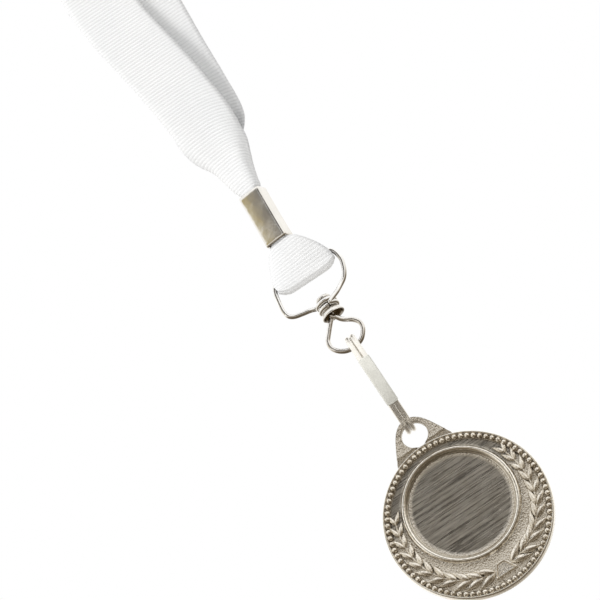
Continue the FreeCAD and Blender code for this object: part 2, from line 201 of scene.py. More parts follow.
# %% [markdown]
# A plated object shows nothing but its surroundings, so the studio is white above and on all
# sides, and dim and warm below. Edges that face upwards shine, and those that face down go dark.
# Two warm, dim panels stand in front: the medal's flat face reflects one, and the crimp the other.
# These faces go warm grey, and every edge that turns away picks up the white again and shines.
# The panels aren't seen directly, and they throw no shadow.

# %% Studio
REFLECTED = 1.2
SOFT_LIGHT = 0.55
PANEL_OUT = -1.3
FLOOR_DROP = 0.40
FLOOR_HALF = 4.0
CHAIN = Vector((0, 0, -0.19))
WHITE = (1.0, 1.0, 1.0, 1.0)


def make_world():
    """White room: one strength for what the metal reflects, another for the light on the cloth."""
    world = bpy.data.worlds.new("studio")
    world.use_nodes = True
    tree = world.node_tree
    tree.nodes.clear()
    height = spread(tree, axes(tree, "Generated")["Z"], 0.0, 1.0, start=-1.0)
    around = ramp(tree, height, (0.0, (0.10, 0.08, 0.055)), (0.3, (0.16, 0.13, 0.095)),
                  (0.43, (0.55, 0.51, 0.45)), (0.54, (0.93, 0.91, 0.87)), (0.8, (1.0, 1.0, 1.0)))
    path = add(tree, "ShaderNodeLightPath").outputs
    lit = add(tree, "ShaderNodeBackground", Color=mixed(tree, path["Is Diffuse Ray"], around, WHITE),
              Strength=spread(tree, path["Is Diffuse Ray"], REFLECTED, SOFT_LIGHT))
    seen = add(tree, "ShaderNodeBackground", Color=WHITE, Strength=1.0)
    mix = add(tree, "ShaderNodeMixShader", Fac=path["Is Camera Ray"])
    tree.links.new(lit.outputs[0], mix.inputs[1])
    tree.links.new(seen.outputs[0], mix.inputs[2])
    add(tree, "ShaderNodeOutputWorld", Surface=mix.outputs[0])
    bpy.context.scene.world = world


def make_light(name, place, size, power):
    """Square lamp that points at the middle of the chain."""
    data = bpy.data.lights.new(name, "AREA")
    data.shape = "SQUARE"
    data.size = size
    data.energy = power
    lamp = new_object(name, data)
    lamp.location = place
    lamp.rotation_euler = (CHAIN - Vector(place)).to_track_quat("-Z", "Y").to_euler()
    lamp.visible_camera = False
    lamp.visible_glossy = False


def flat_card(name, corners, look):
    mesh = bpy.data.meshes.new(name)
    mesh.from_pydata(corners, [], [(0, 1, 2, 3)])
    material, tree, shader = new_material(look)
    mesh.materials.append(material)
    return new_object(name, mesh), tree, shader


def make_panel(name, left, right, low, high, stops):
    """Large dim card that only reflections see; its colour changes from its left to its right."""
    corners = [(x, PANEL_OUT, z) for x, z in ((left, low), (right, low), (right, high), (left, high))]
    panel, tree, _ = flat_card(name, corners, name)
    tree.nodes.clear()
    across = spread(tree, axes(tree)["X"], 0.0, 1.0, left, right)
    glow = add(tree, "ShaderNodeEmission", Color=ramp(tree, across, *stops))
    add(tree, "ShaderNodeOutputMaterial", Surface=glow.outputs[0])
    panel.visible_camera = False
    panel.visible_diffuse = False
    panel.visible_shadow = False


def make_floor():
    low, half = MEDAL_LOW[2] * MM - FLOOR_DROP, FLOOR_HALF
    corners = [(-half, -half, low), (half, -half, low), (half, half, low), (-half, half, low)]
    floor, tree, shader = flat_card("floor", corners, "pale_floor")
    speckle = noise(tree, Scale=40.0, Detail=4.0)
    feed(tree, shader, Roughness=0.9,
         Base_Color=ramp(tree, speckle, (0.3, (0.86, 0.85, 0.83)), (0.7, (0.9, 0.895, 0.88))))
    floor.visible_glossy = False


make_world()
make_floor()
make_light("key", (-0.75, -0.6, 0.55), 0.4, 8.6)
make_light("fill", (0.6, -0.8, 0.1), 0.5, 1.0)
make_panel("brown_panel", -0.5, 0.46, -0.15, 0.8,
           [(0.0, (0.07, 0.065, 0.06)), (0.35, (0.088, 0.073, 0.06)), (1.0, (0.11, 0.093, 0.078))])
make_panel("gold_panel", -2.7, -0.66, 0.2, 1.05,
           [(0.0, (0.60, 0.50, 0.28)), (0.6, (0.54, 0.46, 0.27)), (0.74, (0.34, 0.31, 0.26)),
            (1.0, (0.15, 0.148, 0.15))])
bpy.context.scene.view_settings.view_transform = "Standard"
print("studio: white room, %d lights, two dim panels" % len(bpy.data.lights))

# %% [markdown]
# Every piece below is a grid of points: rows that follow a path or a profile, and columns that go
# round. One helper turns such a grid into a closed mesh, with its faces pointing outwards.
# Sizes are in millimetres until the mesh is made.

# %% Grids into meshes
def paint_points(mesh, layers):
    """Writes one value per point for each named layer; the materials read them."""
    for label, values in layers.items():
        layer = mesh.attributes.new(label, "FLOAT", "POINT")
        layer.data.foreach_set("value", np.asarray(values, np.float32))


def make_piece(name, points, faces, sharp, layers):
    """Smooth mesh object from points in millimetres, closed and turned outwards."""
    mesh = bpy.data.meshes.new(name)
    mesh.from_pydata((np.asarray(points, float) * MM).tolist(), [], faces)
    paint_points(mesh, layers or {})
    work = bmesh.new()
    work.from_mesh(mesh)
    bmesh.ops.remove_doubles(work, verts=work.verts, dist=1e-7)
    bmesh.ops.recalc_face_normals(work, faces=work.faces)
    work.to_mesh(mesh)
    work.free()
    mesh.shade_smooth()
    if sharp:
        mesh.set_sharp_from_angle(angle=math.radians(sharp))
    return new_object(name, mesh)


def grid_piece(name, rows, poles=(None, None), round_rows=False, sharp=None, layers=None):
    """Piece from rows of points; a pole closes the first or last row, or the rows close in a ring."""
    rows = np.asarray(rows, float)
    count, columns = rows.shape[:2]
    points = list(rows.reshape(-1, 3))
    faces = []
    for i in range(count if round_rows else count - 1):
        for j in range(columns):
            k, n = (j + 1) % columns, (i + 1) % count
            faces.append((i * columns + j, i * columns + k, n * columns + k, n * columns + j))
    for pole, start in zip(poles, (0, (count - 1) * columns)):
        if pole is not None:
            points.append(np.asarray(pole, float))
            tip = len(points) - 1
            faces += [(start + j, start + (j + 1) % columns, tip) for j in range(columns)]
    return make_piece(name, points, faces, sharp, layers)


def fit(piece, body, slot, material, *stands_for):
    """Gives a finished piece its material and its body; slot, its place in the record, is not used."""
    piece.data.materials.clear()
    piece.data.materials.append(material)
    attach(piece, body)
    if stands_for:
        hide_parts(*stands_for)
    size = np.array(piece.dimensions) / MM
    print("%-18s %7d faces, %.1f x %.1f x %.1f mm" % (piece.name, len(piece.data.polygons), *size))
    return piece


def points_of(piece):
    return np.array([vertex.co for vertex in piece.data.vertices]) / MM


def sweep(path, radius, sides=20, closed=False):
    """Rows of points round a path, with the section carried along without twist."""
    path = np.asarray(path, float)
    ahead = np.roll(path, -1, 0) - np.roll(path, 1, 0)
    if not closed:
        ahead[0] = path[1] - path[0]
        ahead[-1] = path[-1] - path[-2]
    ahead /= np.linalg.norm(ahead, axis=1)[:, None]
    side = np.cross(ahead[0], (0.31, 0.87, 0.38))
    side /= np.linalg.norm(side)
    angles = np.linspace(0, 2 * math.pi, sides, endpoint=False)
    rows = []
    for place, along in zip(path, ahead):
        side = side - along * np.dot(side, along)
        side /= np.linalg.norm(side)
        up = np.cross(along, side)
        rows.append(place + radius * (np.outer(np.cos(angles), side) + np.outer(np.sin(angles), up)))
    return np.array(rows)


def wire_piece(name, path, radius, closed=False):
    rows = sweep(path, radius, closed=closed)
    poles = (None, None) if closed else (path[0], path[-1])
    return grid_piece(name, rows, poles, round_rows=closed, sharp=None if closed else 60)


def arc(centre, radius, start, end, count, plane):
    """Points on an arc in degrees; plane is the pair of axes that the angle turns from and to."""
    angles = np.radians(np.linspace(start, end, count))
    first, second = (np.array(axis, float) for axis in plane)
    turned = np.outer(np.cos(angles), first) + np.outer(np.sin(angles), second)
    return np.asarray(centre, float) + radius * turned


def eased(t):
    return t * t * (3 - 2 * t)


def hermite(t, start, start_slope, end, end_slope):
    """Cubic from start to end with a slope at either end, for t from 0 to 1."""
    return (start * (1 - eased(t)) + start_slope * (t ** 3 - 2 * t ** 2 + t)
            + end * eased(t) + end_slope * (t ** 3 - t ** 2))


def smooth(keys, at):
    """Values between keys, eased so that a curve through them has no kinks."""
    keys = np.asarray(keys, float)
    where, values = keys[:, 0], keys[:, 1:]
    slopes = np.gradient(values, where, axis=0)
    at = np.clip(np.atleast_1d(at), where[0], where[-1])
    i = np.clip(np.searchsorted(where, at) - 1, 0, len(where) - 2)
    step = (where[i + 1] - where[i])[:, None]
    t = (at - where[i])[:, None] / step
    return hermite(t, values[i], slopes[i] * step, values[i + 1], slopes[i + 1] * step)


def through(keys, count):
    """Points of a smooth curve through the keys, equally many between any two."""
    return smooth(np.column_stack([np.arange(len(keys)), keys]), np.linspace(0, len(keys) - 1, count))


def upright(flat, y):
    """(x, z) points set at one depth."""
    return np.stack([flat[:, 0], np.full(len(flat), y), flat[:, 1]], 1)


def level(flat, z):
    """(x, y) points set at one height."""
    return np.stack([flat[:, 0], flat[:, 1], np.full(len(flat), z)], 1)


def lathe(profile, sides=72):
    """Rows round the Z axis from (radius, height) points."""
    angles = np.linspace(0, 2 * math.pi, sides, endpoint=False)
    circle_xy = np.stack([np.cos(angles), np.sin(angles)], 1)
    return [level(radius * circle_xy, z) for radius, z in profile]


# %% [markdown]
# Finishes. The metal pieces share three effects, so each is a node group with named inputs:
# fine grain as a cast or tumbled surface has, straight brush marks, and cloudy wear.
# The groups give only heights and tones; the shader itself stays in each material.

# %% Shared effects
def new_group(name, inputs, outputs):
    tree = bpy.data.node_groups.new(name, "ShaderNodeTree")
    for label, value in inputs.items():
        tree.interface.new_socket(label, in_out="INPUT", socket_type="NodeSocketFloat").default_value = value
    for label in outputs:
        tree.interface.new_socket(label, in_out="OUTPUT", socket_type="NodeSocketFloat")
    return tree, add(tree, "NodeGroupInput").outputs


def make_grain():
    """Small pits and bumps; Scale is in grains per metre."""
    tree, given = new_group("grain", {"Scale": 4000.0, "Pits": 0.5}, ["Height", "Tone"])
    place = spot(tree)
    grains = noise(tree, Vector=place, Scale=given["Scale"], Detail=5.0, Roughness=0.6)
    cells = add(tree, "ShaderNodeTexVoronoi", Vector=place, Scale=given["Scale"]).outputs["Distance"]
    add(tree, "NodeGroupOutput", Height=plus(tree, grains, times(tree, cells, given["Pits"])), Tone=grains)
    return tree


def make_brushing():
    """Straight marks along X; Lines is how many per metre lie over each other."""
    tree, given = new_group("brush_marks", {"Lines": 5000.0, "Length": 0.02}, ["Height", "Tone"])
    place = axes(tree)
    heights = []
    for share, weight in ((1.0, 0.45), (0.4, 0.55)):
        lines = times(tree, given["Lines"], share)
        run = times(tree, lines, given["Length"])
        drawn = add(tree, "ShaderNodeCombineXYZ", X=times(tree, place["X"], run),
                    Y=times(tree, place["Y"], lines), Z=times(tree, place["Z"], lines)).outputs[0]
        marks = noise(tree, Vector=drawn, Scale=1.0, Detail=3.0, Roughness=0.7)
        heights.append(times(tree, marks, weight))
    add(tree, "NodeGroupOutput", Height=plus(tree, *heights), Tone=heights[1])
    return tree


def make_wear():
    """Cloudy change of shine over the surface, with thin bright scratches."""
    tree, given = new_group("wear", {"Scale": 250.0}, ["Cloud", "Scratch"])
    place = spot(tree)
    cloud = noise(tree, Vector=place, Scale=given["Scale"], Detail=3.0)
    drawn = add(tree, "ShaderNodeMapping", Vector=place, Rotation=(0.3, 0.9, 0.4), Scale=(1.0, 14.0, 14.0))
    lines = noise(tree, Vector=drawn.outputs[0], Scale=given["Scale"], Detail=2.0)
    add(tree, "NodeGroupOutput", Cloud=cloud, Scratch=spread(tree, lines, 0.0, 1.0, 0.66, 0.72))
    return tree


GRAIN = make_grain()
BRUSHING = make_brushing()
WEAR = make_wear()
print("shared effects:", [group.name for group in (GRAIN, BRUSHING, WEAR)])


# %% Building a material
def effect(tree, group, **values):
    return add(tree, "ShaderNodeGroup", node_tree=group, **values).outputs


def painted(tree, layer):
    """The value painted on the piece's points, or 0 on a piece without that layer."""
    return add(tree, "ShaderNodeAttribute", attribute_name=layer).outputs["Fac"]


def bump(tree, height, distance):
    return add(tree, "ShaderNodeBump", Strength=1.0, Distance=distance, Height=height).outputs[0]


def plated(name, dark, bright, roughness, grains, depth, cloud=300.0, metallic=1.0):
    """Nickel-plated metal: tone and shine that drift a little, over a finely grained skin."""
    material, tree, shader = new_material(name)
    wear = effect(tree, WEAR, Scale=cloud)
    grain = effect(tree, GRAIN, Scale=grains, Pits=0.4)
    tone = ramp(tree, wear["Cloud"], (0.3, dark), (0.62, bright))
    shine = spread(tree, wear["Cloud"], *roughness, 0.3, 0.7)
    # a piece's deep layer darkens its colour to brown: painted shade, used inside the swivel's cup
    feed(tree, shader, Metallic=metallic,
         Base_Color=mixed(tree, painted(tree, "deep"), tone, (0.17, 0.125, 0.07, 1.0), blend="MULTIPLY"),
         Roughness=plus(tree, shine, times(tree, wear["Scratch"], 0.12)),
         Normal=bump(tree, grain["Height"], depth))
    return material


# %% [markdown]
# The metal finishes. The medal is an antique nickel: its field and seat are brushed from side to
# side, and the rest is grained. Three values painted on the medal's points say where it is brushed,
# where it is grained and where it is darkened, which is painted shade with some antique patina in
# its hollows. What is neither brushed nor grained is smooth.

# %% Metal materials
def medal_metal():
    material, tree, shader = new_material("antique_nickel")
    brushed, grained, deep = (painted(tree, layer) for layer in ("brushed", "grained", "deep"))
    marks = effect(tree, BRUSHING, Lines=11000.0, Length=0.014)
    grain = effect(tree, GRAIN, Scale=2300.0, Pits=0.8)
    wear = effect(tree, WEAR, Scale=220.0)
    tone = ramp(tree, wear["Cloud"], (0.3, (0.60, 0.55, 0.47)), (0.68, (0.74, 0.69, 0.61)))
    # where the deep layer is set, the colour goes darker: painted shade, with some antique patina
    tone = mixed(tree, deep, tone, (0.34, 0.30, 0.25, 1.0), blend="MULTIPLY")
    streaks = ramp(tree, marks["Tone"], (0.235, 0.30), (0.3, 0.70))
    tone = mixed(tree, brushed, tone, streaks, blend="MULTIPLY")
    raised = calculate(tree, "SUBTRACT", 1.0, calculate(tree, "MAXIMUM", grained, brushed))
    polish = plus(tree, times(tree, grained, 0.6), 0.4)
    grain_shine = times(tree, spread(tree, grain["Tone"], 0.16, 0.36), polish)
    shine = mixed(tree, brushed, grain_shine, spread(tree, marks["Tone"], 0.22, 0.38, 0.15, 0.4), "FLOAT")
    pitted = times(tree, grain["Height"], grained)
    height = mixed(tree, brushed, pitted, times(tree, marks["Height"], 0.3), "FLOAT")
    feed(tree, shader, Metallic=1.0, Base_Color=mixed(tree, raised, tone, (0.90, 0.86, 0.78, 1.0)),
         Roughness=plus(tree, shine, times(tree, wear["Scratch"], -0.06)), Normal=bump(tree, height, 0.00026))
    return material


MEDAL_METAL = medal_metal()
RELIEF_METAL = plated("relief_nickel", (0.68, 0.625, 0.54), (0.86, 0.81, 0.72), (0.07, 0.16), 2600.0, 0.00010)
WIRE_METAL = plated("wire_nickel", (0.74, 0.73, 0.71), (0.88, 0.87, 0.85), (0.05, 0.13), 900.0, 0.000004)
CRIMP_METAL = plated("crimp_nickel", (0.74, 0.72, 0.68), (0.79, 0.77, 0.73), (0.10, 0.22), 500.0, 0.00004,
                     cloud=200.0)
SWIVEL_METAL = plated("swivel_nickel", (0.66, 0.63, 0.58), (0.82, 0.80, 0.77), (0.10, 0.24), 900.0, 0.00004,
                      cloud=500.0)
RING_METAL = plated("ring_nickel", (0.72, 0.69, 0.63), (0.84, 0.81, 0.75), (0.10, 0.20), 900.0, 0.000004,
                    metallic=0.7)
SLEEVE_METAL = plated("satin_sleeve", (0.70, 0.69, 0.63), (0.78, 0.77, 0.71), (0.34, 0.46), 3500.0, 0.00001,
                      metallic=0.0)
print("metals:", [m.name for m in bpy.data.materials if "nickel" in m.name or "satin" in m.name])

# %% [markdown]
# The medal's body is one closed shape. Its profile runs from the middle of the seat out over the
# moulding round the seat, across the field, into the groove of the beads, over the thin lip and
# round the edge to the back. The seat sits a little above the medal's middle, so the field between
# the two circles is wide below, where the wreath lies, and narrow above.

# %% The medal's body
EDGE = MEDAL_RADIUS
FIELD_Y = -0.6
SEAT_Y = SEAT[1] / MM
SEAT_Z = SEAT[2] / MM
SEAT_RADIUS = 12.5
BACK_Y = MEDAL_HIGH[1]
LIP_Y = -1.4
BEAD_PATH = 18.9
# radius and depth of points along the moulding round the seat, and along the rim, from front to back
MOULDING = [(SEAT_RADIUS, SEAT_Y), (12.62, -0.5), (12.8, -0.85), (12.98, -1.12), (13.15, -1.3),
            (13.32, -1.4), (13.5, -1.43), (13.68, -1.37), (13.86, -1.2), (14.02, -0.98), (14.18, -0.75),
            (14.32, FIELD_Y)]
RIM = [(18.05, FIELD_Y), (18.22, -0.62), (18.3, -0.76), (BEAD_PATH, -0.84), (19.42, -0.8), (19.52, -0.95),
       (19.58, -1.28), (19.66, -1.38), (19.76, LIP_Y), (19.88, -1.38), (19.97, -1.27), (EDGE, -1.1),
       (EDGE, -0.3), (EDGE, 0.5), (EDGE, 1.08), (19.93, 1.27), (19.78, 1.37), (19.6, BACK_Y)]
AROUND = 300

# zones of the finish, by their distance from the seat's or the medal's middle
SEAT_BRUSHED = 11.5
MOULDING_EDGE = 14.3
FIELD_EDGE = 18.1
GROOVE = (18.25, 19.5)


def circle(middle, radius, y, count=AROUND):
    angles = np.linspace(0, 2 * math.pi, count, endpoint=False)
    return upright(np.stack([radius * np.sin(angles), middle + radius * np.cos(angles)], 1), y)


def medal_body():
    rows = [circle(SEAT_Z, r, SEAT_Y) for r in (2.0, 4.5, 7.0, 9.5, 11.4, 12.3)]
    rows += [circle(SEAT_Z, r, y) for r, y in MOULDING]
    inner, outer = rows[-1], circle(MEDAL, *RIM[0])
    rows += [inner + (outer - inner) * t for t in (0.2, 0.4, 0.6, 0.8)]
    rows += [circle(MEDAL, r, y) for r, y in RIM]
    rows += [circle(MEDAL, r, BACK_Y) for r in (17.0, 13.0, 8.0, 3.0)]
    body = grid_piece("medal_body", rows, ((0, SEAT_Y, SEAT_Z), (0, BACK_Y, MEDAL)))
    x, y, z = points_of(body).T
    from_middle = np.hypot(x, z - MEDAL)
    from_seat = np.hypot(x, z - SEAT_Z)
    seat = (from_seat < SEAT_BRUSHED) & (y < 0)
    field = (from_middle < FIELD_EDGE) & (from_seat > MOULDING_EDGE) & (y < 0)
    high_up = np.clip((z - MEDAL - 2.0) / 5.0, 0, 1)
    brushed = np.where(seat | (y > BACK_Y - 0.02), 1.0, np.where(field, high_up, 0.0))
    groove = (from_middle > GROOVE[0]) & (from_middle < GROOVE[1]) & (y > -1.0) & (y < 0)
    corner = (np.abs(from_seat - SEAT_RADIUS) < 0.1) & (y > -0.5)
    moulding = (from_seat > 12.45) & (from_seat < 14.25)
    grained = np.where(moulding | (from_middle > 19.45), 0.12, 1.0)
    # the bead groove and the corner round the seat are darkened: painted shade, with some antique patina
    deep = np.where(groove, 0.7, np.where(corner, 0.85, 0.0))
    paint_points(body.data, {"brushed": brushed, "grained": grained, "deep": deep})
    return body


fit(medal_body(), "medal", "medal", MEDAL_METAL, "medal_casting")

# %% [markdown]
# The lug stands on the medal's edge, with the hole that the ring goes through. It is a ring-shaped
# shape that goes from the hole out to the lug's outline and back again, with rounded edges.
# Low down it steps back a little, where it runs in under the lip.

# %% The lug
LUG_HOLE = 3.2
LUG_SIDE = [(0.0, 4.35), (1.7, 4.02), (3.2, 2.98), (4.35, 1.55), (5.25, 0.0), (6.1, -1.6), (6.8, -3.0),
            (7.35, -4.0), (7.7, -4.95)]
LUG_STEP = 3.0
LUG_FOOT = 19.72   # the lug ends under the lip, this far from the medal's middle
LUG_HALF = 1.1


def lug_outline(count):
    """Distance from the hole's middle to the lug's outline, for evenly spaced directions."""
    side = through(LUG_SIDE, 60)
    drop = MEDAL - HOLE
    base = [(LUG_FOOT * math.sin(a), drop + LUG_FOOT * math.cos(a)) for a in np.linspace(0.4, 0.0, 30)]
    half = np.array(list(side) + base)
    whole = np.vstack([half, half[-2:0:-1] * (-1, 1)])
    angles = np.unwrap(np.arctan2(whole[:, 0], whole[:, 1]))
    order = np.argsort(angles)
    wanted = np.linspace(0, 2 * math.pi, count, endpoint=False)
    reach = np.interp(wanted, angles[order], np.hypot(*whole.T)[order], period=2 * math.pi)
    return wanted, reach


def lug():
    angles, reach = lug_outline(220)
    # share of the way from hole to outline, rounding, and half thickness
    section = [(0, 0.0, 0.0), (0, 0.0, 0.55), (0, 0.02, 0.85), (0, 0.1, 1.03), (0, 0.25, LUG_HALF)]
    section += [(t, 0.0, LUG_HALF) for t in np.linspace(0.1, 0.94, 20)]
    section += [(1, -0.25, LUG_HALF), (1, -0.1, 1.04), (1, -0.02, 0.88), (1, 0.0, 0.6), (1, 0.0, 0.0)]
    loop = [(mix, inset, -y) for mix, inset, y in section] + section[-2:0:-1]
    rng = np.random.default_rng(11)
    rows = []
    for mix, inset, y in loop:
        out = LUG_HOLE + (reach - LUG_HOLE) * mix + inset
        z = HOLE + out * np.cos(angles)
        lowered = np.clip((HOLE - LUG_STEP - z) / 0.12, 0, 1)
        ridge = 1 + 0.2 * np.exp(-((z - HOLE + LUG_STEP - 0.25) / 0.3) ** 2)
        depth = y * (1 - 0.42 * lowered) * ridge + rng.normal(0, 0.03, len(angles))
        rows.append(np.stack([out * np.sin(angles), depth, z], 1))
    piece = grid_piece("lug", rows, round_rows=True)
    z = points_of(piece)[:, 2]
    # below the step, where the lug runs in under the lip, it is darkened with painted shade
    deep = np.clip((HOLE - LUG_STEP - z) / 1.5, 0, 0.6)
    paint_points(piece.data, {"grained": np.ones(len(z)), "deep": deep})
    return piece


fit(lug(), "medal", "medal", MEDAL_METAL)

# %% [markdown]
# Beads and leaves repeat one small shape along a path, so both come from the same node tree.
# It sets a shape at even steps along a path and turns it to follow the path, with its face to the
# front. Splay turns it sideways out of the path, and its size goes from one value at the path's
# start to another at its end. Jitter turns each one a little differently, from a fixed seed.

# %% Shapes along a path
def row_tree():
    tree = bpy.data.node_groups.new("row_of_shapes", "GeometryNodeTree")
    kinds = {"Path": "Geometry", "Shape": "Object", "Count": "Int", "Splay": "Float", "First size": "Float",
             "Last size": "Float", "Jitter": "Float", "Seed": "Int"}
    for label, kind in kinds.items():
        tree.interface.new_socket(label, in_out="INPUT", socket_type="NodeSocket" + kind)
    tree.interface.new_socket("Geometry", in_out="OUTPUT", socket_type="NodeSocketGeometry")
    given = add(tree, "NodeGroupInput").outputs
    curve = add(tree, "GeometryNodeMeshToCurve", Mesh=given["Path"]).outputs["Curve"]
    steps = add(tree, "GeometryNodeResampleCurve", Curve=curve, Count=given["Count"]).outputs["Curve"]
    shape = add(tree, "GeometryNodeObjectInfo", Object=given["Shape"]).outputs["Geometry"]
    facing = add(tree, "FunctionNodeAlignRotationToVector", axis="Z", Vector=(0, -1, 0)).outputs[0]
    along = add(tree, "FunctionNodeAlignRotationToVector", axis="X", pivot_axis="Z", Rotation=facing,
                Vector=add(tree, "GeometryNodeInputTangent").outputs[0]).outputs[0]
    chance = add(tree, "FunctionNodeRandomValue", data_type="FLOAT", Seed=given["Seed"]).outputs[1]
    loose = times(tree, calculate(tree, "SUBTRACT", chance, 0.5), given["Jitter"])
    turn = add(tree, "FunctionNodeAxisAngleToRotation", Angle=plus(tree, given["Splay"], loose)).outputs[0]
    turned = add(tree, "FunctionNodeRotateRotation", rotation_space="LOCAL", Rotation=along, Rotate_By=turn)
    share = add(tree, "GeometryNodeSplineParameter").outputs["Factor"]
    size = spread(tree, share, given["First size"], given["Last size"])
    placed = add(tree, "GeometryNodeInstanceOnPoints", Points=steps, Instance=shape,
                 Rotation=turned.outputs[0], Scale=size)
    real = add(tree, "GeometryNodeRealizeInstances", Geometry=placed.outputs[0])
    add(tree, "NodeGroupOutput", Geometry=real.outputs[0])
    return tree


ROW = row_tree()


def row_of(name, path, shape, closed=False, **values):
    """Runs the node tree on a path in millimetres and returns a plain mesh object."""
    count = len(path)
    edges = [(i, (i + 1) % count) for i in range(count if closed else count - 1)]
    line = bpy.data.meshes.new(name + "_path")
    line.from_pydata((np.asarray(path, float) * MM).tolist(), edges, [])
    holder = new_object(name + "_path", line)
    modifier = holder.modifiers.new("row", "NODES")
    modifier.node_group = ROW
    values["Shape"] = shape
    for item in ROW.interface.items_tree:
        label = item.name.replace(" ", "_")
        if item.in_out == "INPUT" and label in values:
            modifier[item.identifier] = values[label]
    bpy.context.view_layer.update()
    whole = holder.evaluated_get(bpy.context.evaluated_depsgraph_get())
    mesh = bpy.data.meshes.new_from_object(whole)
    bpy.data.objects.remove(holder)
    mesh.name = name
    mesh.shade_smooth()
    return new_object(name, mesh)


def small_shape(name, rings, poles):
    """Small closed shape for repeating, from rings of points in units of its own size."""
    piece = grid_piece(name, np.array(rings) / MM, tuple(np.array(pole) / MM for pole in poles))
    bpy.context.scene.collection.objects.unlink(piece)
    return piece


# %% The beads
BEADS = 79
BEAD_RADIUS = 0.7


def bead_shape():
    turns = np.linspace(0, 2 * math.pi, 10, endpoint=False)
    round_10 = np.stack([np.cos(turns), np.sin(turns)], 1)
    rings = [level(math.sin(tilt) * round_10, math.cos(tilt)) for tilt in np.linspace(0, math.pi, 7)[1:-1]]
    return small_shape("bead", rings, ((0, 0, 1), (0, 0, -1)))


beads = row_of("beads", circle(MEDAL, BEAD_PATH, -0.95, 240), bead_shape(), closed=True, Count=BEADS,
               First_size=BEAD_RADIUS * MM, Last_size=BEAD_RADIUS * MM, Jitter=0.3, Seed=3)
fit(beads, "medal", "medal", RELIEF_METAL)

# %% [markdown]
# The wreath is two branches that part from a knot at the bottom. A leaf is a small pointed dome
# with a ridge along its middle. Each branch takes two passes of leaves, one to each side of a thin
# stem, and the leaves get smaller towards the tips.

# %% The wreath
BRANCH = [(172, 15.3), (150, 15.55), (120, 15.95), (90, 16.3), (72, 16.7), (64, 17.0)]
LEAF_PAIRS = 11
FIRST_LEAF, LAST_LEAF = 5.4, 3.5
SPLAY = math.radians(25)


def branch_path(side):
    keys = np.array(BRANCH, float)[::-1]
    turns = np.linspace(keys[0, 0], keys[-1, 0], 60)
    reach = smooth(keys, turns)[:, 0]
    bend = np.radians(turns)
    flat = np.stack([side * reach * np.sin(bend), MEDAL + reach * np.cos(bend)], 1)
    return upright(flat, FIELD_Y - 0.08)[::-1]


def leaf_shape():
    across = [(-1, 0), (-0.6, 0.72), (-0.16, 0.7), (0, 1.0), (0.16, 0.7), (0.6, 0.72), (1, 0), (0, -0.5)]
    rings = []
    for t in np.linspace(0.04, 0.97, 8):
        wide = 0.165 * math.sin(math.pi * t ** 0.75) + 0.012
        high = 0.155 * math.sin(math.pi * t ** 0.8) + 0.02
        rings.append([(t, u * wide, h * high) for u, h in across])
    return small_shape("leaf", rings, ((0, 0, 0.02), (1, 0, 0.02)))


LEAF = leaf_shape()
for side, hand in ((-1, "left"), (1, "right")):
    path = branch_path(side)
    for turn, row in ((1, "outer"), (-1, "inner")):
        leaves = row_of("leaves_%s_%s" % (hand, row), path, LEAF, Count=LEAF_PAIRS, Splay=turn * side * SPLAY,
                        First_size=FIRST_LEAF * MM, Last_size=LAST_LEAF * MM, Jitter=0.16, Seed=5 + turn)
        fit(leaves, "medal", "medal", RELIEF_METAL)
    fit(wire_piece("stem_" + hand, path, 0.2), "medal", "medal", RELIEF_METAL)


# %% The knot
def box_corners(half_x, half_y):
    return [(-half_x, -half_y), (half_x, -half_y), (half_x, half_y), (-half_x, half_y)]


def rounded(corners, radius, count=6):
    """Corners of a convex outline, each one rounded, as (x, z) points."""
    corners = np.array(corners, float)
    points = []
    for i, corner in enumerate(corners):
        before = corners[i - 1] - corner
        after = corners[(i + 1) % len(corners)] - corner
        before, after = before / np.linalg.norm(before), after / np.linalg.norm(after)
        for t in np.linspace(0, 1, count):
            points.append(corner + radius * (before * (1 - t) ** 2 + after * t ** 2))
    return np.array(points)


KNOT = [(-1.0, MEDAL - 13.7), (1.0, MEDAL - 13.7), (3.0, MEDAL - 16.9), (-3.0, MEDAL - 16.9)]


def knot():
    outline = rounded(KNOT, 0.35)
    middle = np.array([0, MEDAL - 15.55])
    levels = ((1.0, -0.4), (1.0, -1.15), (0.96, -1.38), (0.9, -1.42), (0.84, -1.32), (0.78, -0.9),
              (0.5, -0.85))
    rows = [upright(middle + (outline - middle) * scale, y) for scale, y in levels]
    return grid_piece("wreath_knot", rows, ((0, -0.4, middle[1]), (0, -0.85, middle[1])), sharp=50)


fit(knot(), "medal", "medal", RELIEF_METAL)

# %% [markdown]
# The ring is one wire that goes round twice. It crosses from one turn to the other under a short
# sleeve, which also hides its two ends.

# %% The ring and its sleeve
RING_LOW, RING_HIGH = span("split_ring")
RING_WIRE = 0.65
RING_REACH = RING_HIGH[1] - RING_WIRE
RING_SIDE = RING_HIGH[0] - RING_WIRE
RING_MIDDLE = (RING_LOW[2] + RING_HIGH[2]) / 2
SLEEVE_TURN = -15.3
SLEEVE_ARC = 54.4
OUTWARD = (0, -1, 0)
UPWARD = (0, 0, 1)


def ring_wire():
    # in degrees: where the wire starts, crosses to the other turn, and ends
    start, cross, end = 20.0, (340.0, 380.0), 700.0
    turns = np.arange(start, end + 0.1, 4.0)
    shift = np.clip((turns - cross[0]) / (cross[1] - cross[0]), 0, 1)
    path = arc((0, 0, RING_MIDDLE), RING_REACH, start + SLEEVE_TURN, end + SLEEVE_TURN, len(turns),
               (OUTWARD, UPWARD))
    path[:, 0] = RING_SIDE * np.cos(math.pi * shift)
    return wire_piece("ring_wire", path, RING_WIRE)


